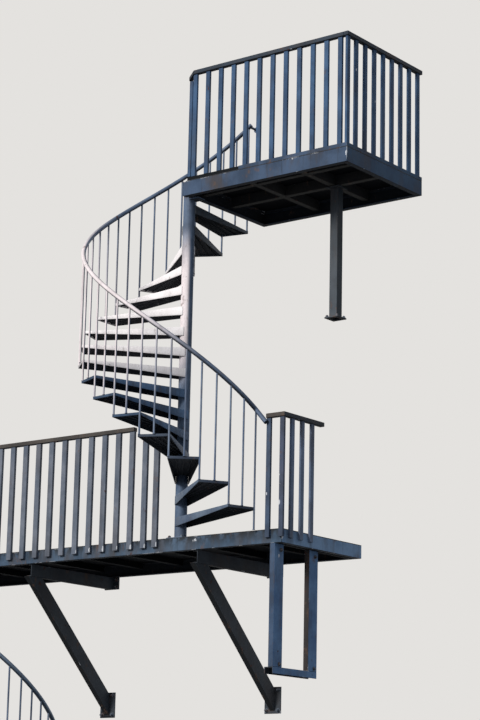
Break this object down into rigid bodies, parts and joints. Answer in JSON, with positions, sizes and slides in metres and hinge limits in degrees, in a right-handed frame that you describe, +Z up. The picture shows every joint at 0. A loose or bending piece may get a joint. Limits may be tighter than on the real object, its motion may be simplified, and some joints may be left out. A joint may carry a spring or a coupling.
{
  "type": "fire_escape_stair_tower",
  "caption": "Outdoor steel fire escape: two winding flights with tapered treads around round columns, a wall-bracketed walkway and an upper platform with slatted railings",
  "frame": {"origin": "centre of the right bracket beam's end, on the wall face of its plate", "axes": "+X to the right along the wall as seen from the front, +Y into the wall, +Z up"},
  "size_m": [5.959, 2.3223, 9.164],
  "materials": {
    "frame_paint": "weathered satin grey-blue paint with rust stains",
    "slat_paint": "weathered satin grey-blue paint with white chips",
    "deck_paint": "worn dark grey paint on pressed plate",
    "pale_paint": "weathered off-white paint",
    "blue_paint": "weathered steel-blue paint"
  },
  "bodies": {
    "root": {"bracket_beam_right": "frame_paint", "bracket_beam_mid": "frame_paint", "bracket_beam_left": "frame_paint", "bracket_strut_right": "frame_paint", "bracket_strut_mid": "frame_paint", "bracket_strut_left": "frame_paint", "walkway_channel_front": "frame_paint", "walkway_channel_right": "frame_paint", "walkway_channel_back": "frame_paint", "walkway_channel_left": "frame_paint", "walkway_joists": "frame_paint", "walkway_deck": "deck_paint", "hanging_leg_front": "frame_paint", "hanging_leg_back": "frame_paint", "hanging_bar": "frame_paint", "platform_channel_front": "frame_paint", "platform_channel_right": "frame_paint", "platform_channel_back": "frame_paint", "platform_channel_left": "frame_paint", "platform_beams_cross": "frame_paint", "platform_beams_long": "frame_paint", "platform_deck": "deck_paint", "platform_kick_front": "frame_paint", "platform_kick_side": "frame_paint", "platform_post": "frame_paint", "column_upper": "pale_paint", "treads_upper_first": "blue_paint", "treads_upper_last": "pale_paint", "balusters_upper": "pale_paint", "handrail_upper": "pale_paint", "handrail_hook": "pale_paint", "column_lower": "pale_paint", "treads_lower_top": "blue_paint", "treads_lower_mid": "blue_paint", "treads_lower_foot": "blue_paint", "balusters_lower": "pale_paint", "handrail_lower": "pale_paint", "railing_platform_front": "slat_paint", "railing_platform_side": "slat_paint", "railing_walkway_front": "slat_paint", "railing_walkway_right": "slat_paint", "railing_walkway_right_side": "slat_paint", "railing_walkway_left": "slat_paint", "railing_walkway_left_side": "slat_paint"}
  },
  "joints": []
}
